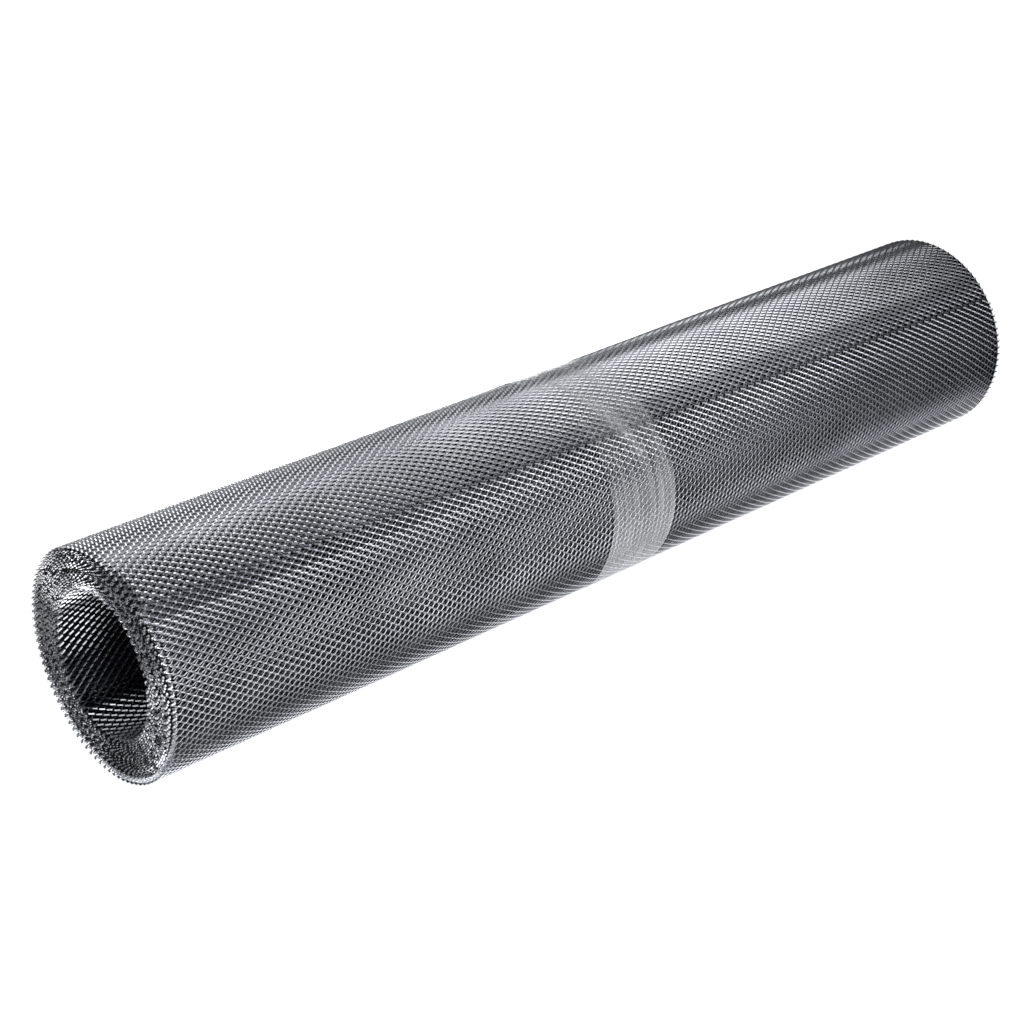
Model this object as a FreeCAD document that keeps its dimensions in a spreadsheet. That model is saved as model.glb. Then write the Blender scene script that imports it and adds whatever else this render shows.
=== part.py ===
import FreeCAD, Part

import math
import os

import Sketcher

# A roll of expanded metal mesh, wound tight round an open bore and standing on its end, with a
# band of clear film round its middle that keeps it shut.
#
# The roll's axis is the Z axis and the floor is Z = 0. Each piece is drawn about that axis,
# centred on its own middle, with the sheet's outer free edge towards +X, and is then turned
# about the axis until the edge faces -Y and lifted by half the roll's length.
#
# One turn of the winding is two half rings. The centre of one sits a quarter of a turn's
# thickness towards the free edge and that of the other as far away from it, so the radius grows
# by one thickness on the way round and the outer surface ends in a step at the free edge.

SIZES = [
    ("roll_length", "1000", "width of the mesh, which is the length of the roll"),
    ("roll_diameter", "198", "twice the radius at the free edge, where the roll is thickest"),
    ("bore_diameter", "120", "open bore"),
    ("turn_count", "20", "turns between the bore and the free edge"),
    ("turn_gap", "0.8", "open width between two turns at the ends of the roll"),
    ("turn_gap_depth", "3", "how deep those gaps are cut"),
    ("free_edge_angle", "-90", "degrees about the axis from +X to the free edge"),
    ("film_width", "80", "width of the film band along the roll"),
    ("film_thickness", "0.3", "all wraps of the film together"),
    ("film_clearance", "0.1", "from the mesh to the film that lies on it"),
    ("film_offset", "7", "middle of the film band above the middle of the roll"),
    ("turn_pitch", "=(roll_diameter - bore_diameter) / 2 / turn_count", "thickness of a turn"),
    ("thick_radius", "=roll_diameter / 2 - turn_pitch / 4", "half ring that ends at the step"),
    ("thin_radius", "=thick_radius - turn_pitch / 2", "half ring that starts below the step"),
    ("centre_shift", "=turn_pitch / 4", "from the roll's axis to a half ring's own centre"),
]

# Numbers that a sketch uses for its own origin and axes.
ORIGIN = (-1, 1)
H_AXIS, V_AXIS = -1, -2


def make_sizes(doc):
    """The sheet with the driving dimensions, in millimetres and degrees."""
    sheet = doc.addObject("Spreadsheet::Sheet", "sizes")
    for row, (name, value, note) in enumerate(SIZES, start=1):
        sheet.set(f"A{row}", name)
        sheet.set(f"B{row}", value)
        sheet.set(f"C{row}", note)
        sheet.setAlias(f"B{row}", name)
    doc.recompute()
    return sheet


def add_body(doc, name):
    """A body turned about the roll's axis and lifted onto the floor."""
    body = doc.addObject("PartDesign::Body", name)
    body.Label = name
    body.setExpression("Placement.Base.z", "sizes.roll_length / 2 * 1mm")
    body.setExpression("Placement.Rotation.Angle", "sizes.free_edge_angle * 1deg")
    return body


def add_sketch(body, name, plane, shift_axis=None, shift=None):
    """A sketch on one of the body's origin planes, moved along one of its axes."""
    sketch = body.newObject("Sketcher::SketchObject", name)
    support = next(item for item in body.Origin.OriginFeatures if item.Role == plane)
    sketch.AttachmentSupport = [(support, "")]
    sketch.MapMode = "FlatFace"
    if shift:
        sketch.setExpression(f"AttachmentOffset.Base.{shift_axis}", f"({shift}) * 1mm")
    return sketch


class Constraints:
    """Collects a sketch's constraints, adds them in one go and binds their values."""

    def __init__(self, sketch):
        self.sketch = sketch
        self.items = []
        self.expressions = []

    def fix(self, kind, *where):
        """A constraint without a value, such as Coincident."""
        self.items.append(Sketcher.Constraint(kind, *where))

    def bind(self, kind, *where_and_value):
        """A sized constraint, whose value is bound to an expression."""
        *where, value, expression = where_and_value
        self.expressions.append((len(self.items), expression))
        self.items.append(Sketcher.Constraint(kind, *where, value))

    def apply(self):
        first = self.sketch.ConstraintCount
        self.sketch.addConstraint(self.items)
        for index, expression in self.expressions:
            self.sketch.setExpression(f"Constraints[{first + index}]", expression)


def add_loop(sketch, rules, corners):
    """A closed outline of straight lines, corner to corner."""
    count = len(corners)
    lines = [Part.LineSegment(corners[k], corners[(k + 1) % count]) for k in range(count)]
    sketch.addGeometry(lines, False)
    for index in range(count):
        rules.fix("Coincident", index, 2, (index + 1) % count, 1)


def end_profile(sizes, outer, turns):
    """Points of one end from the axis outwards: (x, y, x expression, y expression).

    Each gap between two turns is a V, cut in from the end face at that turn's radius.
    """
    face = sizes.roll_length / 2
    floor = face - sizes.turn_gap_depth
    face_text = "sizes.roll_length / 2"
    floor_text = "sizes.roll_length / 2 - sizes.turn_gap_depth"
    radius = getattr(sizes, outer)
    half_gap = sizes.turn_gap / 2
    points = [(0, face, None, face_text)]
    for turn in range(turns, 0, -1):
        middle = radius - turn * sizes.turn_pitch
        middle_text = f"sizes.{outer} - {turn} * sizes.turn_pitch"
        points.append((middle - half_gap, face, f"{middle_text} - sizes.turn_gap / 2", face_text))
        points.append((middle, floor, middle_text, floor_text))
        points.append((middle + half_gap, face, f"{middle_text} + sizes.turn_gap / 2", face_text))
    points.append((radius, face, f"sizes.{outer}", face_text))
    return points


def draw_half_profile(sketch, sizes, outer, turns):
    """The upper half of a half ring, from its own axis to its outer radius."""
    points = end_profile(sizes, outer, turns)
    corners = [FreeCAD.Vector(x, y, 0) for x, y, _, _ in points]
    lower_corner = len(corners)
    corners += [FreeCAD.Vector(corners[-1].x, 0, 0), FreeCAD.Vector(0, 0, 0)]
    rules = Constraints(sketch)
    add_loop(sketch, rules, corners)
    for index, (x, y, x_text, y_text) in enumerate(points):
        if x_text:
            rules.bind("DistanceX", *ORIGIN, index, 1, x, x_text)
        else:
            rules.fix("PointOnObject", index, 1, V_AXIS)
        rules.bind("DistanceY", *ORIGIN, index, 1, y, y_text)
    rules.fix("Vertical", lower_corner - 1)
    rules.fix("PointOnObject", lower_corner, 1, H_AXIS)
    rules.fix("Coincident", lower_corner + 1, 1, *ORIGIN)
    rules.apply()


def turn_half_ring(body, name, sizes, outer, shift, turns, reverse):
    """Turn one half of the winding about its own centre line."""
    sketch = add_sketch(body, f"{name}_profile", "XZ_Plane", "x", shift)
    draw_half_profile(sketch, sizes, outer, turns)
    ring = body.newObject("PartDesign::Revolution", name)
    ring.Profile = sketch
    ring.ReferenceAxis = (sketch, ["V_Axis"])
    ring.Angle = 180
    ring.Reversed = reverse
    return ring


def bore_out(body, sizes):
    """Cut the round bore along the roll's own axis."""
    sketch = add_sketch(body, "bore_profile", "XZ_Plane")
    half = sizes.roll_length / 2
    radius = sizes.bore_diameter / 2
    corners = [(0, 0), (radius, 0), (radius, half), (0, half)]
    rules = Constraints(sketch)
    add_loop(sketch, rules, [FreeCAD.Vector(x, y, 0) for x, y in corners])
    rules.fix("Coincident", 0, 1, *ORIGIN)
    rules.fix("Horizontal", 0)
    rules.fix("Vertical", 1)
    rules.fix("Horizontal", 2)
    rules.fix("Vertical", 3)
    rules.bind("DistanceX", 0, 1, 0, 2, radius, "sizes.bore_diameter / 2")
    rules.bind("DistanceY", 1, 1, 1, 2, half, "sizes.roll_length / 2")
    rules.apply()
    bore = body.newObject("PartDesign::Groove", "bore")
    bore.Profile = sketch
    bore.ReferenceAxis = (sketch, ["V_Axis"])
    bore.Angle = 360
    return bore


def mirror_downwards(body, features):
    """Repeat the upper half of the roll below its middle."""
    mirror = body.newObject("PartDesign::Mirrored", "lower_half")
    mirror.Originals = features
    plane = next(item for item in body.Origin.OriginFeatures if item.Role == "XY_Plane")
    mirror.MirrorPlane = (plane, [""])
    body.Tip = mirror


def build_mesh_roll(doc, sizes):
    """The wound sheet: two turned half rings with the gaps between turns on both ends."""
    body = add_body(doc, "mesh_roll")
    turns = int(sizes.turn_count)
    shift = "sizes.centre_shift"
    # The last gap of each half stays outside the round bore.
    thick = turn_half_ring(body, "thick_half", sizes, "thick_radius", shift, turns - 1, True)
    thin = turn_half_ring(body, "thin_half", sizes, "thin_radius", f"-{shift}", turns - 2, False)
    bore = bore_out(body, sizes)
    doc.recompute()
    mirror_downwards(body, [thick, thin, bore])
    doc.recompute()
    return body


def draw_wrap_outline(sketch, sizes, gap, gap_text):
    """One side of the film's section, a set distance from the roll's surface.

    It follows both half rings and spans the step at the free edge in one taut, straight stretch.
    """
    shift = sizes.centre_shift
    thick = sizes.thick_radius + gap
    thin = sizes.thin_radius + gap
    edge = FreeCAD.Vector(shift + thick, 0, 0)
    back = FreeCAD.Vector(shift - thick, 0, 0)
    reach = edge.x + shift
    leave_x = thin**2 / reach
    leave = FreeCAD.Vector(leave_x - shift, math.sqrt(thin**2 - leave_x**2), 0)
    thick_arc = sketch.addGeometry(Part.Arc(back, FreeCAD.Vector(shift, -thick, 0), edge), False)
    thin_arc = sketch.addGeometry(Part.Arc(leave, FreeCAD.Vector(-shift, thin, 0), back), False)
    span = sketch.addGeometry(Part.LineSegment(edge, leave), False)
    rules = Constraints(sketch)
    for arc in (thick_arc, thin_arc):
        rules.fix("PointOnObject", arc, 3, H_AXIS)
    for end in (1, 2):
        rules.fix("PointOnObject", thick_arc, end, H_AXIS)
    rules.fix("Coincident", thin_arc, 2, thick_arc, 1)
    rules.fix("Coincident", thick_arc, 2, span, 1)
    rules.fix("Tangent", span, 2, thin_arc, 1)
    rules.bind("Radius", thick_arc, thick, f"sizes.thick_radius + {gap_text}")
    rules.bind("DistanceX", *ORIGIN, thick_arc, 3, shift, "sizes.centre_shift")
    rules.bind("DistanceX", thin_arc, 3, *ORIGIN, shift, "sizes.centre_shift")
    rules.apply()


def build_film_band(doc, sizes):
    """The clear film, wrapped taut round the roll and its free edge."""
    body = add_body(doc, "film_band")
    sketch = add_sketch(body, "wrap_outline", "XY_Plane", "z", "sizes.film_offset")
    inside = sizes.film_clearance
    outside = inside + sizes.film_thickness
    draw_wrap_outline(sketch, sizes, inside, "sizes.film_clearance")
    draw_wrap_outline(sketch, sizes, outside, "sizes.film_clearance + sizes.film_thickness")
    band = body.newObject("PartDesign::Pad", "band")
    band.Profile = sketch
    band.SideType = "Symmetric"
    band.setExpression("Length", "sizes.film_width * 1mm")
    doc.recompute()
    return body


def check(doc, bodies):
    """Stop before anything is written if a feature failed or a shape is not sound."""
    for item in doc.Objects:
        if "Invalid" in item.State or "Error" in item.State:
            raise RuntimeError(f"{item.Name} failed: {item.State}")
    for body in bodies:
        if body.Shape.isNull() or not body.Shape.isValid() or len(body.Shape.Solids) != 1:
            raise RuntimeError(f"{body.Label} is not one sound solid")


def main():
    doc = FreeCAD.newDocument("mesh_roll")
    sizes = make_sizes(doc)
    bodies = [build_mesh_roll(doc, sizes), build_film_band(doc, sizes)]
    doc.recompute()
    check(doc, bodies)
    os.makedirs("parts", exist_ok=True)
    for body in bodies:
        box = body.Shape.BoundBox
        print(f"{body.Label}: {body.Shape.Volume:.0f} mm3, X {box.XMin:.2f} to {box.XMax:.2f},"
              f" Y {box.YMin:.2f} to {box.YMax:.2f}, Z {box.ZMin:.2f} to {box.ZMax:.2f}")
        body.Shape.exportStep(f"parts/{body.Label}.step")


main()
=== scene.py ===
import math

import bpy
import numpy as np
from mathutils import Matrix, Vector


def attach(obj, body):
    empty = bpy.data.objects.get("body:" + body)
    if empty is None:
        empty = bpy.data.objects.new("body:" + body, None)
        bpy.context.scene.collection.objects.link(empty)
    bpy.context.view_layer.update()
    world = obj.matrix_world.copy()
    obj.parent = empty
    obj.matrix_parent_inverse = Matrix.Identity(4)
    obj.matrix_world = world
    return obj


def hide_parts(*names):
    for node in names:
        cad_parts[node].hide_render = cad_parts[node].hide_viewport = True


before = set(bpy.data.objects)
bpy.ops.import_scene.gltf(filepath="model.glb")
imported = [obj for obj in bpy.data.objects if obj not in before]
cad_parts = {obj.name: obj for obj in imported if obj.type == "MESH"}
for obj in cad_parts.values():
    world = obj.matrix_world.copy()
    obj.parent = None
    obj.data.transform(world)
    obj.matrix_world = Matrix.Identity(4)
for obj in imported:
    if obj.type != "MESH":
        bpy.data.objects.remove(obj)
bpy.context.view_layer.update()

MM = 0.001
TURN_ANGLE = 2 * math.pi

# Camera: the photograph's view of the standing roll, rolled so that the roll lies across the picture
CAMERA_PLACE = (-0.2952, -1.5439, 1.7538)
CAMERA_RIGHT = Vector((-0.4754, -0.4754, -0.7403))
CAMERA_UP = Vector((0.8678, -0.3919, -0.3056))
CAMERA_LENS = 78.42
SENSOR_WIDTH = 36.0

# Roll: sizes in millimetres, angles in radians
ROLL_LENGTH = 1000.0
OUTER_RADIUS = 98.88
TURN_PITCH = 1.95
TURNS = 18.95
# Photograph angles start at this direction and grow clockwise, seen from above
ZERO_DIRECTION = -math.pi / 4
EDGE_ANGLE_TOP = 0.6626
EDGE_ANGLE_BOTTOM = 0.9075

# Mesh: one diamond is LONG_WAY by 2 * LINE_STEP
LONG_WAY = 9.98
LINE_STEP = 3.33
FIRST_KNOT = 1.0
STRAND_WIDTH = 1.2
STRAND_THICKNESS = 0.6
KNOT_LENGTH = 1.2
KNOT_ROOM = 0.3
# Shares of a strand that are left at a free edge and at the least
EDGE_STUB = 0.85
SHORTEST_STUB = 0.02

# Lean of the strands out of the sheet. Pairs are where it begins and ends to change, as wound angles
STRAND_TILT = math.radians(50)
EDGE_TILT_LOSS = 0.15
EDGE_TILT_REACH = 0.1
FAR_SIDE_TILT_LOSS = 0.6
FAR_SIDE_BEGINS = (2.4, 3.4)
FAR_SIDE_ENDS = (4.95, 5.5)
SECOND_TILT = math.radians(15)
SECOND_TILT_ABOVE = math.radians(33)
SECOND_STEEPER = (0.7, 1.6)
BORE_TILT = math.radians(-27)
HALF_DEPTH = STRAND_WIDTH * math.sin(STRAND_TILT) + STRAND_THICKNESS / 2 * math.cos(STRAND_TILT)

# The bore's bright side, in degrees: its bounds, and the lean that grows there
BORE_BRIGHT_BEGINS = (176, 206)
BORE_BRIGHT_ENDS = (255, 300)
BORE_LEAN_START = 167
BORE_LEAN_RANGE = (20, 75)
# Direction in degrees from -y, counterclockwise from above, of the free edge at the top
EDGE_SIDE = 7

# Swell of the two outer turns before they run in under the turn above
SWELL_HEIGHT = 0.9
SWELL_STARTS = 0.5
SWELL_FULL = 0.1
SWELL_FADES = 0.04
SWELL_TURNS = 2.5

# Outer turn: its strips round the roll, and how many lines run in under its own free edge
OUTER_STRIPS = 4
LINES_UNDER_EDGE = 4

# Second turn: its ends, and the dark groove where its top sinks behind the outer turn
SECOND_BOTTOM = 0.6
SECOND_SUNK = 0.2
GROOVE_DEPTH = 7.0
GROOVE_REACH = (1.1, 1.6)

# Bore turn and the one behind it: heights of their strips near each end
BORE_TOP_STRIP = (860.0, ROLL_LENGTH - 1.0)
BORE_BOTTOM_STRIP = (0.4, 110.0)
BEHIND_STRIP = (880.0, ROLL_LENGTH - 12.0)

# Ends of the turns between: strips, and clumps that sink by up to CLUMP_DEPTH
ENDS_TOP_LOW = ROLL_LENGTH - 6.5
ENDS_BOTTOM_HIGH = 5.0
ENDS_BOTTOM_SUNK = 0.2
ENDS_WIDTH = 1.6
CLUMP_GRID = (40, 97)
CLUMP_DEPTH = 4.5
CLUMP_LEVEL = 0.45
CLUMP_TURNS = (1.9, 4.0)
CLUMPS_PER_TURN = 0.55
CLUMP_WANDER = 0.3
CLUMPS_PER_RADIAN = 15
ENDS_GROOVE_DEPTH = 3.0
ENDS_GROOVE_TURNS = (2.3, 2.6)

# Rings below the drawn turns, painted near-black as their shade, each as inner radius, outer radius, low and
# high
CORE_RING = (65.5, 92.6, 1.2, 997.6)
FOOT_RING = (65.5, 96.2, 0.3, 1.1)
PATTERN_RADIUS = 93.5
PLAIN_ENDS = 3.0

# Film: heights of its rims and their limits, and its place on the roll
FILM_LOW = 469.0
FILM_HIGH = 543.0
FILM_LIMITS = (467.1, 546.9)
# Where its upper rim flares: angle, reach and height
FILM_FLARE = (2.1, 0.7, 3.0)
FILM_THICKNESS = 0.18
FILM_LIFT = 0.32
FILM_LARGEST_RADIUS = 99.38
FILM_SLOPE = 0.12
WRINKLE_HEIGHT = 0.1
LONG_WRINKLES = 9
LONG_WRINKLE_WIDTH = 0.03
# Fine wrinkles on the side toward the camera: share of the width, angle and slope
FINE_WRINKLES = (
    (0.44, 0.75, -0.10),
    (0.52, 0.62, -0.16),
    (0.58, 0.55, -0.2),
    (0.66, 0.45, -0.24),
    (0.72, 0.35, -0.2),
)
FINE_WRINKLE_REACH = 0.38
FINE_WRINKLE_WIDTH = 0.022
# Two small painted glints, dots where the film is made milky white over a tiny bump: angle and share of the
# width
GLINTS = ((0.84, 0.5), (1.02, 0.4))
GLINT_STRENGTH = 3
GLINT_REACH = 0.014
GLINT_WIDTH = 0.02
# How far the film veils the mesh: everywhere, on its two double patches, and on its wrinkles and painted
# glints
VEIL = 0.01
LOW_PATCH = ((1.1, 1.4), (3.6, 3.9))
LOW_PATCH_VEIL = 0.08
HIGH_PATCH = ((4.9, 5.6), (5.7, 6.2))
HIGH_PATCH_VEIL = 0.45
WRINKLE_AND_GLINT_VEIL = 0.22

# Steel: darkest colour, lightest colour and roughness
STEEL_LOOKS = {
    "mesh_steel": ((0.45, 0.465, 0.5), (0.66, 0.675, 0.71), 0.22),
    # The same steel painted darker, as painted shade on the turns that lie under others and on the bottom
    # ends
    "painted_shade_steel": ((0.37, 0.38, 0.41), (0.57, 0.582, 0.615), 0.25),
    # The same steel painted lighter, as painted light on the second turn
    "painted_light_steel": ((0.5, 0.51, 0.54), (0.7, 0.712, 0.745), 0.25),
    # The same steel painted lighter still, as painted highlight on the second turn by the free edge and on
    # the top ends of the turns
    "painted_highlight_steel": ((0.6, 0.613, 0.645), (0.84, 0.855, 0.89), 0.25),
}

# Studio: directions of the bright parts, and how the brightness rises as a place lies more nearly
# that way, from dot product to dot product and from level to level
BRIGHT_SIDE = (-0.93, 0.37, 0.0)
FAR_SIDE = (0.37, -0.93, 0.0)
BACK_SIDE = (0.574, 0.819, 0.0)
NEAR_GLOW = (0.6, 0.95, 0.03, 1.6)
FAR_GLOW = (0.35, 0.85, 0.05, 2.4)
BACK_GLOW = (0.93, 0.99, 0.0, 8.0)
SKY_GLOW = (0.62, 0.97, 0.1, 1.8)
# Floor: half its width, how far it lies below the roll, and the distances of its bright parts
FLOOR_HALF = 12
FLOOR_DROP = 0.0002
FAR_OFF = (0.3, 2.2)
BACK_DISTANCE = 0.85
BACK_REACH = (0.5, 0.25)
# Lights: name, place, target, width, height where it differs, and power
LIGHTS = (
    ("front", (-0.95, -2.05, 1.5), (0, 0, 0.6), 3.0, 1.0, 20),
    ("left", (-2.3, 0.8, 1.35), (0, 0, 0.6), 3.0, 1.4, 48),
    ("low", (-1.25, 2.17, 1.25), (0, 0, 1.0), 0.7, None, 8),
    ("upper", (2.2, -1.6, 1.9), (0, 0, 0.55), 2.0, None, 3),
    ("end", (0.36, 1.83, 2.17), (0, 0, 1.0), 1.2, None, 3),
    ("bore", (-0.45, -1.75, 2.35), (0, 0, 0.97), 0.6, None, 1.4),
)

# A strand's section: corners as shares of width and thickness, and the corners of each half
ACROSS = (-1.0, 0.0, 1.0)
STRAND_SHAPES = {
    4: ([(a, b) for a in ACROSS for b in (0.5, -0.5)], [(0, 2, 3, 1), (2, 4, 5, 3)]),
    3: ([(a, 0.5) for a in ACROSS] + [(-0.5, -0.5), (0.5, -0.5)], [(0, 1, 3), (1, 2, 4)]),
}


def ease(value, start, end):
    """Smooth rise from 0 at start to 1 at end."""
    share = np.clip((value - start) / (end - start), 0, 1)
    return share * share * (3 - 2 * share)


def between(value, begins, ends):
    """1 between two places and 0 beyond them, with a smooth rise at begins and fall at ends."""
    return ease(value, *begins) * (1 - ease(value, *ends))


def edge_angle(z):
    """Photograph angle of the free edge at height z."""
    share = z / ROLL_LENGTH
    return EDGE_ANGLE_BOTTOM + (EDGE_ANGLE_TOP - EDGE_ANGLE_BOTTOM) * share


def wound_angle(line):
    """Angle wound from the free edge to a slit line, which lies line steps along the sheet."""
    length = np.asarray(line, float) * LINE_STEP
    inside = OUTER_RADIUS ** 2 - TURN_PITCH * length / math.pi
    return (OUTER_RADIUS - np.sqrt(inside)) * TURN_ANGLE / TURN_PITCH


def line_at(turns):
    """Number of the slit line nearest to a count of turns from the free edge."""
    angle = turns * TURN_ANGLE
    length = OUTER_RADIUS * angle - TURN_PITCH * angle ** 2 / (4 * math.pi)
    return int(round(length / LINE_STEP))


def tilt_at(angle):
    """Lean of the outer turn: a little less along the free edge, and much less on the far side."""
    at_edge = 1 - ease(angle, 0.0, EDGE_TILT_REACH)
    far_side = between(angle, FAR_SIDE_BEGINS, FAR_SIDE_ENDS)
    return STRAND_TILT * (1 - EDGE_TILT_LOSS * at_edge) * (1 - FAR_SIDE_TILT_LOSS * far_side)


def rise_at(angle):
    """How far the two outer turns swell, just before they run in under the turn above."""
    past = np.mod(angle, TURN_ANGLE)
    before = ease(past, TURN_ANGLE - SWELL_STARTS, TURN_ANGLE - SWELL_FULL)
    after = (1 - ease(past, 0.0, SWELL_FADES)) * (angle > math.pi)
    return SWELL_HEIGHT * np.maximum(before, after) * (angle < SWELL_TURNS * TURN_ANGLE)


def place(angle, z, along, outward):
    """Points of the sheet, in metres, at a wound angle and height, moved along it and outward."""
    mid = OUTER_RADIUS - HALF_DEPTH - TURN_PITCH * angle / TURN_ANGLE + rise_at(angle)
    turn = ZERO_DIRECTION - (edge_angle(z) + angle)
    radius = mid + outward
    x = radius * np.cos(turn) + along * np.sin(turn)
    y = radius * np.sin(turn) - along * np.cos(turn)
    return np.stack([x, y, z * np.ones_like(x)], -1) * MM


def corner_shift(corner, tilt, width):
    """How far along and outward a strand's corner lies from the middle of its line."""
    a, b = corner
    along = a * width * np.cos(tilt) + b * STRAND_THICKNESS * np.sin(tilt)
    outward = -a * width * np.sin(tilt) + b * STRAND_THICKNESS * np.cos(tilt)
    return along, outward


def tube_faces(lower, upper):
    """Faces between two rings of corner numbers, one array of quads for each side of the tube."""
    faces = []
    for edge in range(len(lower)):
        follow = (edge + 1) % len(lower)
        faces.append(np.stack([lower[edge], upper[edge], upper[follow], lower[follow]], -1).reshape(-1, 4))
    return faces


def strand_mesh(first, last, low, high, knot=KNOT_LENGTH, sides=4, open_first=False, open_last=False,
                width=STRAND_WIDTH, lean=None):
    """Zigzag strands between two slit lines, joined at their knots, cut off below low and above high.

    An open line has no knots, and the strands toward it end as stubs.
    """
    lines = np.arange(first, last + 1)
    count = len(lines)
    low = np.broadcast_to(np.asarray(low, float), (count,))
    high = np.broadcast_to(np.asarray(high, float), (count,))
    # Half diamonds along the roll, with one or two to spare beyond each end
    steps = np.arange(-2, int(ROLL_LENGTH / LONG_WAY * 2) + 2)
    heights = FIRST_KNOT + steps * LONG_WAY / 2
    room = knot / 2 + KNOT_ROOM
    on_line = (steps[None, :] % 2) == (lines[:, None] % 2)
    above_low = heights[None, :] - room >= low[:, None]
    below_high = heights[None, :] + room <= high[:, None]
    valid = on_line & above_low & below_high
    if open_first:
        valid[0] = False
    if open_last:
        valid[-1] = False

    angles = wound_angle(lines)
    tilts = tilt_at(angles) if lean is None else np.full(count, lean)
    corners, rings = STRAND_SHAPES[sides]
    stations = [-knot / 2, knot / 2] if knot > 0 else [0.0]
    top_station = len(stations) - 1

    line_index, step_index = np.nonzero(valid)
    ids = -np.ones(valid.shape, int)
    ids[line_index, step_index] = np.arange(len(line_index)) * len(corners) * len(stations)
    blocks = []
    for offset in stations:
        for corner in corners:
            along, outward = corner_shift(corner, tilts[line_index], width)
            blocks.append(place(angles[line_index], heights[step_index] + offset, along, outward))
    points = np.stack(blocks, 1).reshape(-1, 3)

    def ring_ids(base, station, half):
        return [base + station * len(corners) + corner for corner in rings[half]]

    # Knots: the two halves of one share their middle side, which is left out
    faces = []
    if knot > 0:
        base = ids[line_index, step_index]
        inner = line_index > 0
        outer = line_index < count - 1
        for half, chosen, middle_side in ((0, inner, 1), (1, outer, 3)):
            alone = ~(inner & outer)[chosen]
            lower = ring_ids(base[chosen], 0, half)
            upper = ring_ids(base[chosen], 1, half)
            for edge, quads in enumerate(tube_faces(lower, upper)):
                faces.append(quads[alone] if edge == middle_side else quads)

    def cut_tip(here, there, half, start, end, share):
        """Corners where a strand from one line toward another is cut off."""
        tip = []
        for corner_here, corner_there in zip(rings[half], rings[1 - half]):
            ends = []
            for line, corner, z in ((here, corner_here, start), (there, corner_there, end)):
                along, outward = corner_shift(corners[corner], tilts[line], width)
                ends.append(place(np.array(angles[line]), np.array(z), along, outward))
            tip.append(ends[0] * (1 - share) + ends[1] * share)
        return tip

    # Strands: whole ones between two knots, and cut ones with a cap where only one knot is left
    caps = []
    tip_points = []
    bars = np.arange(count - 1)
    for step in range(len(steps) - 1):
        up_from_first = (lines[:-1] % 2) == (steps[step] % 2)
        lower_line = np.where(up_from_first, bars, bars + 1)
        upper_line = np.where(up_from_first, bars + 1, bars)
        lower_half = np.where(up_from_first, 1, 0)
        lower_id = ids[lower_line, step]
        upper_id = ids[upper_line, step + 1]
        whole = (lower_id >= 0) & (upper_id >= 0)
        for half in (0, 1):
            chosen = whole & (lower_half == half)
            if chosen.any():
                lower = ring_ids(lower_id[chosen], top_station, half)
                upper = ring_ids(upper_id[chosen], 0, 1 - half)
                faces.extend(tube_faces(lower, upper))
        low_end = heights[step] + knot / 2
        high_end = heights[step + 1] - knot / 2
        for bar in np.nonzero((lower_id >= 0) ^ (upper_id >= 0))[0]:
            rising = lower_id[bar] >= 0
            if rising:
                here, there, half = lower_line[bar], upper_line[bar], int(lower_half[bar])
                start, end, limit = low_end, high_end, high[here]
                ring = ring_ids(lower_id[bar], top_station, half)
            else:
                here, there, half = upper_line[bar], lower_line[bar], 1 - int(lower_half[bar])
                start, end, limit = high_end, low_end, low[here]
                ring = ring_ids(upper_id[bar], 0, half)
            share = min(1.0, (limit - start) / (end - start))
            if (open_first and there == 0) or (open_last and there == count - 1):
                share = min(share, EDGE_STUB)
            share = max(share, SHORTEST_STUB)
            fresh = [len(points) + len(tip_points) + n for n in range(sides)]
            tip_points.extend(cut_tip(here, there, half, start, end, share))
            lower, upper = (ring, fresh) if rising else (fresh, ring)
            faces.extend(tube_faces(lower, upper))
            caps.append(fresh[::-1] if rising else fresh)
    if tip_points:
        points = np.concatenate([points, np.array(tip_points)])
    return points, np.concatenate(faces), caps


def make_object(name, points, quads, caps, material, smooth=False):
    """A mesh object from quads and cap faces, with its unused points left out."""
    corners = [quads.ravel()]
    sizes = [np.full(len(quads), 4)]
    if caps:
        corners.append(np.array(caps).ravel())
        sizes.append(np.full(len(caps), len(caps[0])))
    corners = np.concatenate(corners)
    sizes = np.concatenate(sizes)
    used, corners = np.unique(corners, return_inverse=True)
    points = points[used]
    mesh = bpy.data.meshes.new(name)
    mesh.vertices.add(len(points))
    mesh.vertices.foreach_set("co", points.astype(np.float32).ravel())
    mesh.loops.add(len(corners))
    mesh.loops.foreach_set("vertex_index", corners.astype(np.int32))
    mesh.polygons.add(len(sizes))
    starts = np.concatenate([[0], np.cumsum(sizes)[:-1]])
    mesh.polygons.foreach_set("loop_start", starts.astype(np.int32))
    mesh.update(calc_edges=True)
    mesh.validate()
    if smooth:
        mesh.shade_smooth()
    else:
        mesh.shade_flat()
    thing = bpy.data.objects.new(name, mesh)
    bpy.context.scene.collection.objects.link(thing)
    mesh.materials.append(material)
    return thing


def ring_solid(name, ring, material, steps=180):
    """A plain round tube, closed at both ends."""
    inner, outer, low, high = ring
    turns = np.arange(steps) * TURN_ANGLE / steps
    points = []
    for radius, z in ((outer, low), (outer, high), (inner, high), (inner, low)):
        points.append(np.stack([radius * np.cos(turns), radius * np.sin(turns), np.full(steps, z)], 1) * MM)
    here = np.arange(steps)
    follow = (here + 1) % steps
    quads = []
    for side in range(4):
        a = side * steps
        b = ((side + 1) % 4) * steps
        quads.append(np.stack([a + here, a + follow, b + follow, b + here], 1))
    return make_object(name, np.concatenate(points), np.concatenate(quads), [], material)


def set_inputs(made, values):
    """Set a node's sockets by name."""
    for socket, value in values.items():
        made.inputs[socket].default_value = value


def node(tree, kind, **values):
    """A new node with its settings."""
    made = tree.nodes.new(kind)
    for key, value in values.items():
        setattr(made, key, value)
    return made


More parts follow.
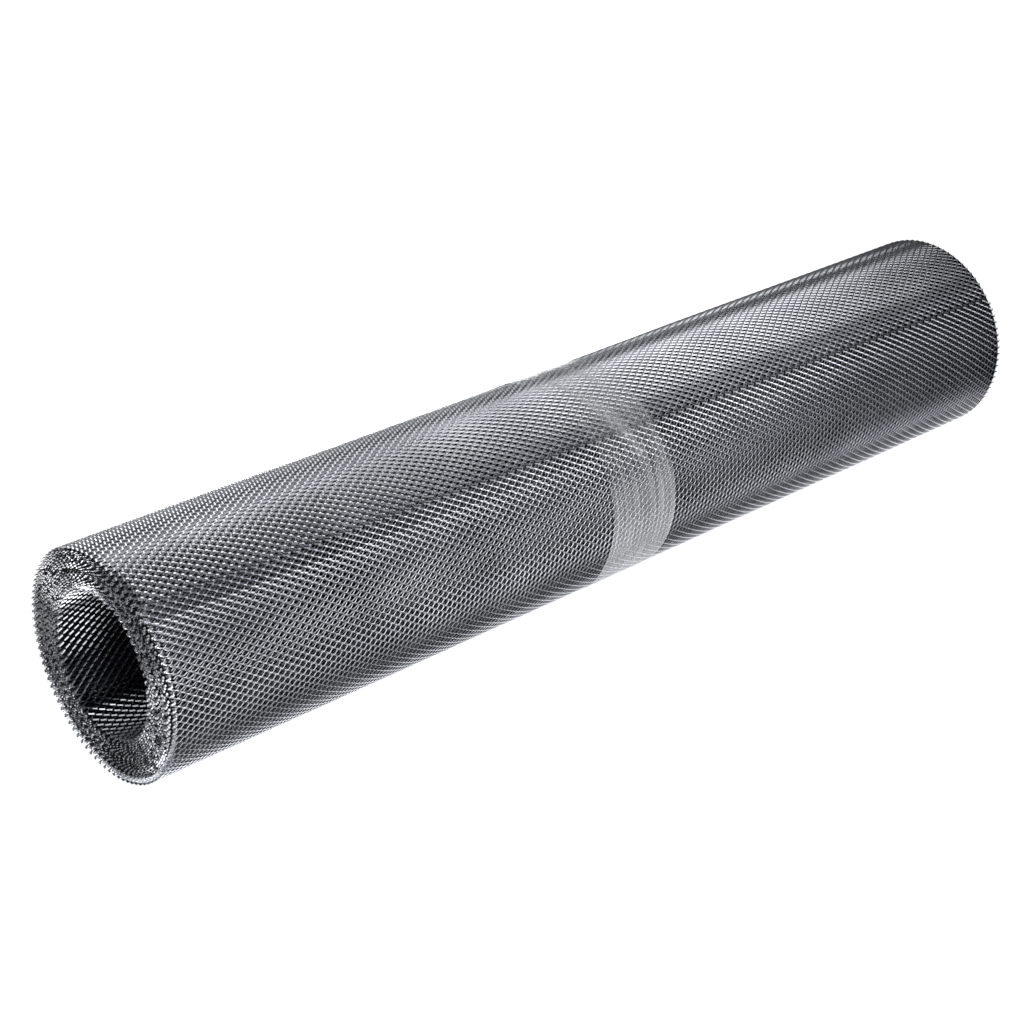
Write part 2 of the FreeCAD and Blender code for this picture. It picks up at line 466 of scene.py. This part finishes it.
def math_node(tree, operation, first, second=None):
    """The result of a Math node on sockets or numbers."""
    made = node(tree, "ShaderNodeMath", operation=operation)
    for socket, value in zip(made.inputs, (first, second)):
        if value is None:
            continue
        if isinstance(value, (int, float)):
            socket.default_value = value
        else:
            tree.links.new(value, socket)
    return made.outputs[0]


def vector_node(tree, operation, vector, second=None):
    """A Vector Math node on a vector, and where it needs one on a fixed second vector."""
    made = node(tree, "ShaderNodeVectorMath", operation=operation)
    tree.links.new(vector, made.inputs[0])
    if second is not None:
        made.inputs[1].default_value = second
    return made


def map_range(tree, value, start, end, low=0.0, high=1.0):
    """A value from start to end, mapped to low to high and held there beyond."""
    made = node(tree, "ShaderNodeMapRange")
    set_inputs(made, {"From Min": start, "From Max": end, "To Min": low, "To Max": high})
    tree.links.new(value, made.inputs["Value"])
    return made.outputs["Result"]


def noise(tree, vector, scale, detail):
    """A noise pattern's strength."""
    made = node(tree, "ShaderNodeTexNoise")
    set_inputs(made, {"Scale": scale, "Detail": detail})
    tree.links.new(vector, made.inputs["Vector"])
    return made.outputs["Fac"]


def two_colours(tree, share, dark, light, start=0.0, end=1.0):
    """A colour from dark at start to light at end."""
    made = node(tree, "ShaderNodeValToRGB")
    for stop, position, colour in zip(made.color_ramp.elements, (start, end), (dark, light)):
        stop.position = position
        stop.color = (*colour, 1)
    tree.links.new(share, made.inputs["Fac"])
    return made.outputs["Color"]


def add_bump(tree, shader, height, strength, distance):
    """Relief on a shader, from a height."""
    made = node(tree, "ShaderNodeBump")
    set_inputs(made, {"Strength": strength, "Distance": distance})
    tree.links.new(height, made.inputs["Height"])
    tree.links.new(made.outputs["Normal"], shader.inputs["Normal"])


def new_material(name):
    """A material, its tree, its main shader and its object coordinates."""
    material = bpy.data.materials.new(name)
    material.use_nodes = True
    tree = material.node_tree
    coords = node(tree, "ShaderNodeTexCoord").outputs["Object"]
    return material, tree, tree.nodes["Principled BSDF"], coords


def steel_material(name):
    """Bare steel with soft mottling and a fine grain."""
    dark, light, roughness = STEEL_LOOKS[name]
    material, tree, shader, coords = new_material(name)
    set_inputs(shader, {"Metallic": 1.0})
    patches = noise(tree, coords, scale=18.0, detail=3.0)
    grain = noise(tree, coords, scale=900.0, detail=2.0)
    mixed = math_node(tree, "ADD", math_node(tree, "MULTIPLY", patches, 0.6),
                      math_node(tree, "MULTIPLY", grain, 0.4))
    colour = two_colours(tree, mixed, dark, light, start=0.3, end=0.7)
    tree.links.new(colour, shader.inputs["Base Color"])
    rough = map_range(tree, grain, 0.0, 1.0, roughness - 0.08, roughness + 0.1)
    tree.links.new(rough, shader.inputs["Roughness"])
    add_bump(tree, shader, grain, strength=0.25, distance=0.0002)
    return material


def core_material(name):
    """The turns beneath, in painted shade: diamonds of dim strands over near-black gaps, in colour and bump.
    """
    material, tree, shader, coords = new_material(name)
    set_inputs(shader, {"Metallic": 1.0, "Roughness": 0.5})
    split = node(tree, "ShaderNodeSeparateXYZ")
    tree.links.new(coords, split.inputs[0])
    turn = math_node(tree, "ARCTAN2", split.outputs["Y"], split.outputs["X"])
    around = math_node(tree, "MULTIPLY", turn, PATTERN_RADIUS / (2 * LINE_STEP))
    upward = math_node(tree, "MULTIPLY", split.outputs["Z"], 1 / (LONG_WAY * MM))
    waves = []
    for operation in ("ADD", "SUBTRACT"):
        share = math_node(tree, "FRACT", math_node(tree, operation, around, upward))
        waves.append(math_node(tree, "ABSOLUTE", math_node(tree, "SUBTRACT", share, 0.5)))
    nearest = math_node(tree, "MINIMUM", waves[0], waves[1])
    strand = map_range(tree, nearest, start=0.16, end=0.08)
    # No diamonds on the two end faces
    half = ROLL_LENGTH / 2
    from_middle = math_node(tree, "SUBTRACT", split.outputs["Z"], half * MM)
    on_side = math_node(tree, "LESS_THAN", math_node(tree, "ABSOLUTE", from_middle), (half - PLAIN_ENDS) * MM)
    seen = math_node(tree, "MULTIPLY", strand, on_side)
    # Painted shade: near-black gaps and dim strands stand for the turns deep in the roll, which lie in shade
    colour = two_colours(tree, seen, (0.004, 0.004, 0.005), (0.09, 0.092, 0.1))
    tree.links.new(colour, shader.inputs["Base Color"])
    add_bump(tree, shader, strand, strength=1.0, distance=0.001)
    return material


def film_material(name):
    """Clear film that veils what is under it, with milky creases."""
    material, tree, shader, coords = new_material(name)
    set_inputs(shader, {"Base Color": (0.84, 0.85, 0.88, 1), "Roughness": 0.2, "IOR": 1.5})
    stretch = node(tree, "ShaderNodeMapping")
    set_inputs(stretch, {"Scale": (1.0, 1.0, 16.0)})
    tree.links.new(coords, stretch.inputs["Vector"])
    creases = noise(tree, stretch.outputs["Vector"], scale=20.0, detail=2.0)
    streaks = map_range(tree, creases, start=0.45, end=0.75, high=0.1)
    layers = node(tree, "ShaderNodeAttribute", attribute_name="veil")
    grazing = node(tree, "ShaderNodeLayerWeight")
    set_inputs(grazing, {"Blend": 0.35})
    alpha = math_node(tree, "ADD", streaks, layers.outputs["Fac"])
    alpha = math_node(tree, "ADD", alpha, math_node(tree, "MULTIPLY", grazing.outputs["Facing"], 0.06))
    alpha = math_node(tree, "MINIMUM", alpha, 0.9)
    tree.links.new(alpha, shader.inputs["Alpha"])
    add_bump(tree, shader, creases, strength=0.35, distance=0.001)
    return material


def film_rim(waves, turns, level):
    """A rim of the film: one level with four seeded waves round the roll."""
    heights = level
    for n in (1, 2, 3, 5):
        strength = waves.uniform(0.3, 0.9)
        heights = heights + strength * np.sin(n * turns + waves.uniform(0, 6))
    return heights


def gap_from(turns, middle):
    """Angle from a middle to each of the turns, the short way round."""
    return np.angle(np.exp(1j * (turns - middle)))


def crease(shares, gap, reach, path, width):
    """One crease of a width along a path on the film, which fades at both its ends."""
    fade = np.exp(-(gap / reach) ** 2)
    path = np.broadcast_to(path, gap.shape)
    return fade[:, None] * np.exp(-((shares[None, :] - path[:, None]) / width) ** 2)


def film_wrinkles(waves, turns, shares):
    """Seeded long wrinkles, fine ones on the side toward the camera, and two small painted glints as milky
    white dots.
    """
    wrinkles_and_glints = np.zeros((len(turns), len(shares)))
    for _ in range(LONG_WRINKLES):
        centre = waves.uniform(0.05, 0.95)
        gap = gap_from(turns, waves.uniform(0, TURN_ANGLE))
        reach = waves.uniform(0.4, 1.2)
        path = centre + 0.05 * np.sin(2 * turns + centre * 9)
        wrinkles_and_glints += waves.uniform(0.4, 1.0) * crease(shares, gap, reach, path, LONG_WRINKLE_WIDTH)
    for centre, middle, slope in FINE_WRINKLES:
        gap = gap_from(turns, middle)
        wrinkles_and_glints += crease(shares, gap, FINE_WRINKLE_REACH, centre + slope * gap, FINE_WRINKLE_WIDTH)
    # Painted glints: the film is made milky white in two small dots
    for middle, centre in GLINTS:
        gap = gap_from(turns, middle)
        wrinkles_and_glints += GLINT_STRENGTH * crease(shares, gap, GLINT_REACH, centre, GLINT_WIDTH)
    return wrinkles_and_glints


def film_band(material):
    """The film round the middle: a thin closed band with wavy rims and long wrinkles."""
    around = 300
    across = 28
    turns = np.arange(around) * TURN_ANGLE / around
    shares = np.linspace(0, 1, across + 1)
    waves = np.random.default_rng(7)
    low = film_rim(waves, turns, FILM_LOW)
    high = film_rim(waves, turns, FILM_HIGH)
    flare_angle, flare_reach, flare_height = FILM_FLARE
    flare = np.exp(-((turns - flare_angle) / flare_reach) ** 2) * flare_height
    low = np.maximum(low, FILM_LIMITS[0])
    high = np.minimum(high + flare, FILM_LIMITS[1])
    z = low[:, None] + (high - low)[:, None] * shares[None, :]
    wrinkles_and_glints = film_wrinkles(waves, turns, shares)

    # The film spans the free edge in a short slope instead of a step
    angle = np.mod(turns[:, None] - edge_angle(z), TURN_ANGLE)
    climb = ease(TURN_ANGLE - angle, 0.0, FILM_SLOPE)
    surface = OUTER_RADIUS - TURN_PITCH * angle / TURN_ANGLE + TURN_PITCH * (1 - climb)
    lifted = surface + FILM_LIFT + WRINKLE_HEIGHT * np.clip(wrinkles_and_glints, 0, 1)
    outer = np.minimum(lifted, FILM_LARGEST_RADIUS)
    turn = ZERO_DIRECTION - turns[:, None]
    points = []
    for layer in (outer - FILM_THICKNESS, outer):
        points.append(np.stack([layer * np.cos(turn), layer * np.sin(turn), z], -1).reshape(-1, 3) * MM)

    row = across + 1
    size = around * row
    here = np.arange(around)
    follow = (here + 1) % around
    quads = []
    for n in range(across):
        a, b = here * row + n, follow * row + n
        quads.append(np.stack([a, b, b + 1, a + 1], 1))
        quads.append(np.stack([a, a + 1, b + 1, b], 1) + size)
    for n, order in ((0, 1), (across, -1)):
        a, b = here * row + n, follow * row + n
        rim = np.stack([a, a + size, b + size, b], 1)
        quads.append(rim[:, ::order])
    band = make_object("film_wrap", np.concatenate(points), np.concatenate(quads), [], material, smooth=True)

    # Where the film lies double it is milkier, with soft folds in the upper patch. The painted glints make it
    # milky white in two small dots
    low_patch = between(turns, *LOW_PATCH)[:, None]
    high_patch = between(turns, *HIGH_PATCH)[:, None]
    folds = 0.6 + 0.4 * np.sin(13 * shares[None, :] + 5 * turns[:, None])
    share = (VEIL + LOW_PATCH_VEIL * low_patch + HIGH_PATCH_VEIL * high_patch * folds
             + WRINKLE_AND_GLINT_VEIL * wrinkles_and_glints)
    veil = band.data.attributes.new("veil", "FLOAT", "POINT")
    veil.data.foreach_set("value", np.tile(share.ravel(), 2).astype(np.float32))
    return band


def glow_toward(tree, direction, side, glow):
    """Brightness that rises as a direction turns toward one side."""
    match = vector_node(tree, "DOT_PRODUCT", direction, side).outputs["Value"]
    return map_range(tree, match, *glow)


def floor_material():
    """White to the camera. The steel sees it bright on the left, far off in front, and in a patch behind."""
    material, tree, shader, coords = new_material("floor")
    set_inputs(shader, {"Base Color": (0.2, 0.2, 0.21, 1), "Roughness": 0.9, "Emission Color": (1, 1, 1, 1)})
    direction = vector_node(tree, "NORMALIZE", coords).outputs["Vector"]
    distance = vector_node(tree, "LENGTH", coords).outputs["Value"]

    near_by = glow_toward(tree, direction, BRIGHT_SIDE, NEAR_GLOW)
    far_off = math_node(tree, "MULTIPLY", map_range(tree, distance, *FAR_OFF),
                        glow_toward(tree, direction, FAR_SIDE, FAR_GLOW))
    from_patch = math_node(tree, "ABSOLUTE", math_node(tree, "SUBTRACT", distance, BACK_DISTANCE))
    behind = math_node(tree, "MULTIPLY", map_range(tree, from_patch, *BACK_REACH),
                       glow_toward(tree, direction, BACK_SIDE, BACK_GLOW))
    shine = math_node(tree, "MAXIMUM", math_node(tree, "MAXIMUM", far_off, near_by), behind)
    seen = node(tree, "ShaderNodeLightPath").outputs["Is Camera Ray"]
    tree.links.new(math_node(tree, "MAXIMUM", seen, shine), shader.inputs["Emission Strength"])
    return material


def area_light(name, place_at, target, size, size_y, power):
    """A soft light aimed at a target, unseen by the camera."""
    data = bpy.data.lights.new(name, "AREA")
    data.energy = power
    data.size = size
    if size_y:
        data.shape = "RECTANGLE"
        data.size_y = size_y
    light = bpy.data.objects.new(name, data)
    bpy.context.scene.collection.objects.link(light)
    light.location = place_at
    light.visible_camera = False
    direction = Vector(target) - light.location
    light.rotation_mode = "QUATERNION"
    light.rotation_quaternion = direction.to_track_quat("-Z", "Y")


def finish_steel(piece, *nodes):
    """What every piece of mesh rides on and stands for."""
    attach(piece, "root")
    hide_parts(*nodes)


def add_strands(name, look, first, last, low, high, **shape):
    """One joined mesh of strands, as a piece that stands for the roll."""
    points, quads, caps = strand_mesh(first, last, low, high, **shape)
    finish_steel(make_object(name, points, quads, caps, look), "mesh_roll")


# Camera
camera_data = bpy.data.cameras.new("camera")
camera_data.lens = CAMERA_LENS
camera_data.sensor_width = SENSOR_WIDTH
camera = bpy.data.objects.new("camera", camera_data)
bpy.context.scene.collection.objects.link(camera)
right = CAMERA_RIGHT.normalized()
back = right.cross(CAMERA_UP).normalized()
up = back.cross(right)
camera.matrix_world = Matrix((
    (right.x, up.x, back.x, CAMERA_PLACE[0]),
    (right.y, up.y, back.y, CAMERA_PLACE[1]),
    (right.z, up.z, back.z, CAMERA_PLACE[2]),
    (0, 0, 0, 1),
))
bpy.context.scene.camera = camera

# Materials
steel = steel_material("mesh_steel")
# Steel painted darker, as painted shade
painted_shade_steel = steel_material("painted_shade_steel")
# Steel painted lighter, as painted light and painted highlight
painted_light_steel = steel_material("painted_light_steel")
painted_highlight_steel = steel_material("painted_highlight_steel")
painted_shade_core = core_material("shaded_turns_beneath")
film_look = film_material("clear_film")

# Outer turn, in four strips round the roll, running on a little under its own free edge
last_outer = line_at(1.0) + LINES_UNDER_EDGE
for number in range(OUTER_STRIPS):
    start = last_outer * number // OUTER_STRIPS
    end = last_outer * (number + 1) // OUTER_STRIPS
    add_strands(f"outer_turn_{number + 1}", steel, start, end, 0.0, ROLL_LENGTH, open_first=number == 0)

# Second turn, in two strips. Its top sinks behind the outer turn on one side, as a dark groove
last_second = line_at(2.0)
middle = (last_outer + last_second) // 2
for number, (start, end) in enumerate(((last_outer, middle), (middle, last_second))):
    wound = wound_angle(np.arange(start, end + 1)) - TURN_ANGLE
    near_edge = np.minimum(wound, TURN_ANGLE - wound)
    sunk = SECOND_SUNK + GROOVE_DEPTH * (1 - ease(near_edge, *GROOVE_REACH))
    steeper = SECOND_TILT + (STRAND_TILT - SECOND_TILT) * ease(wound, *SECOND_STEEPER)
    lean = (steeper, SECOND_TILT_ABOVE)[number]
    # Both strips are steel painted lighter as painted light, the first lightest as painted highlight
    look = (painted_highlight_steel, painted_light_steel)[number]
    add_strands(f"second_turn_{number + 1}", look, start, end, SECOND_BOTTOM, ROLL_LENGTH - sunk,
                knot=0.0, sides=3, lean=lean)

# Inner turn round the bore, near each end. On the bright side near the top it leans the other way
first_bore = line_at(TURNS - 1.0)
last_bore = line_at(TURNS)
bore_side = np.mod(EDGE_SIDE - np.degrees(wound_angle(np.arange(first_bore, last_bore + 1))), 360)
turned = between(bore_side, BORE_BRIGHT_BEGINS, BORE_BRIGHT_ENDS)
turned_lean = np.radians(np.clip(bore_side - BORE_LEAN_START, *BORE_LEAN_RANGE))
bore_lean = BORE_TILT * (1 - turned) + turned_lean * turned
add_strands("bore_turn_top", steel, first_bore, last_bore, *BORE_TOP_STRIP, open_last=True, lean=bore_lean)
add_strands("bore_turn_bottom", steel, first_bore, last_bore, *BORE_BOTTOM_STRIP, open_last=True,
            lean=BORE_TILT)

# The turn behind the bore turn, where it shows through near the top, in steel painted darker as its shade
add_strands("bore_turn_behind", painted_shade_steel, line_at(TURNS - 2.0), first_bore, *BEHIND_STRIP,
            knot=0.0, sides=3, lean=STRAND_TILT / 2)

# Ends of the turns between. They stand and sink in small clumps, least in the outermost turns
wound = wound_angle(np.arange(last_second, first_bore + 1))
past = np.mod(wound, TURN_ANGLE)
turns_in = wound / TURN_ANGLE
clumps = np.random.default_rng(11).uniform(0, 1, CLUMP_GRID)
clump_row = (turns_in * CLUMPS_PER_TURN + CLUMP_WANDER * np.sin(wound)).astype(int) % CLUMP_GRID[0]
clump_column = (past * CLUMPS_PER_RADIAN).astype(int) % CLUMP_GRID[1]
clump = np.clip(clumps[clump_row, clump_column] - CLUMP_LEVEL, 0, 1)
near_edge = np.minimum(past, TURN_ANGLE - past)
groove = (1 - ease(near_edge, *GROOVE_REACH)) * (1 - ease(turns_in, *ENDS_GROOVE_TURNS))
sink = CLUMP_DEPTH * clump * ease(turns_in, *CLUMP_TURNS) + ENDS_GROOVE_DEPTH * groove
# The top ends in steel painted lighter, as painted highlight
add_strands("turn_ends_top", painted_highlight_steel, last_second, first_bore, ENDS_TOP_LOW, ROLL_LENGTH - sink,
            knot=0.0, sides=3, width=ENDS_WIDTH, lean=BORE_TILT)
# The bottom ends in steel painted darker, as painted shade
add_strands("turn_ends_bottom", painted_shade_steel, last_second, first_bore, ENDS_BOTTOM_SUNK * (1 + sink),
            ENDS_BOTTOM_HIGH, knot=0.0, sides=3)

# Turns beneath, as rings painted dark with their shade
core = ring_solid("shaded_turns_within", CORE_RING, painted_shade_core)
finish_steel(core, "mesh_roll")
foot = ring_solid("shaded_foot_within", FOOT_RING, painted_shade_core)
finish_steel(foot, "mesh_roll")

# Film
film = film_band(film_look)
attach(film, "root")
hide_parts("film_band")

# Floor
floor_mesh = bpy.data.meshes.new("floor")
floor_corners = [(FLOOR_HALF * x, FLOOR_HALF * y, 0) for x, y in ((-1, -1), (1, -1), (1, 1), (-1, 1))]
floor_mesh.from_pydata(floor_corners, [], [(0, 1, 2, 3)])
floor_mesh.materials.append(floor_material())
floor = bpy.data.objects.new("floor", floor_mesh)
bpy.context.scene.collection.objects.link(floor)
floor.location.z = -FLOOR_DROP

# Studio: brighter on the left than on the right
world = bpy.data.worlds.new("studio")
bpy.context.scene.world = world
world.use_nodes = True
sky = world.node_tree
background = sky.nodes["Background"]
set_inputs(background, {"Color": (0.9, 0.94, 1.0, 1)})
outward = node(sky, "ShaderNodeTexCoord").outputs["Generated"]
sky.links.new(glow_toward(sky, outward, BRIGHT_SIDE, SKY_GLOW), background.inputs["Strength"])
for light_values in LIGHTS:
    area_light(*light_values)

bpy.context.scene.view_settings.view_transform = "Standard"

bpy.context.view_layer.update()
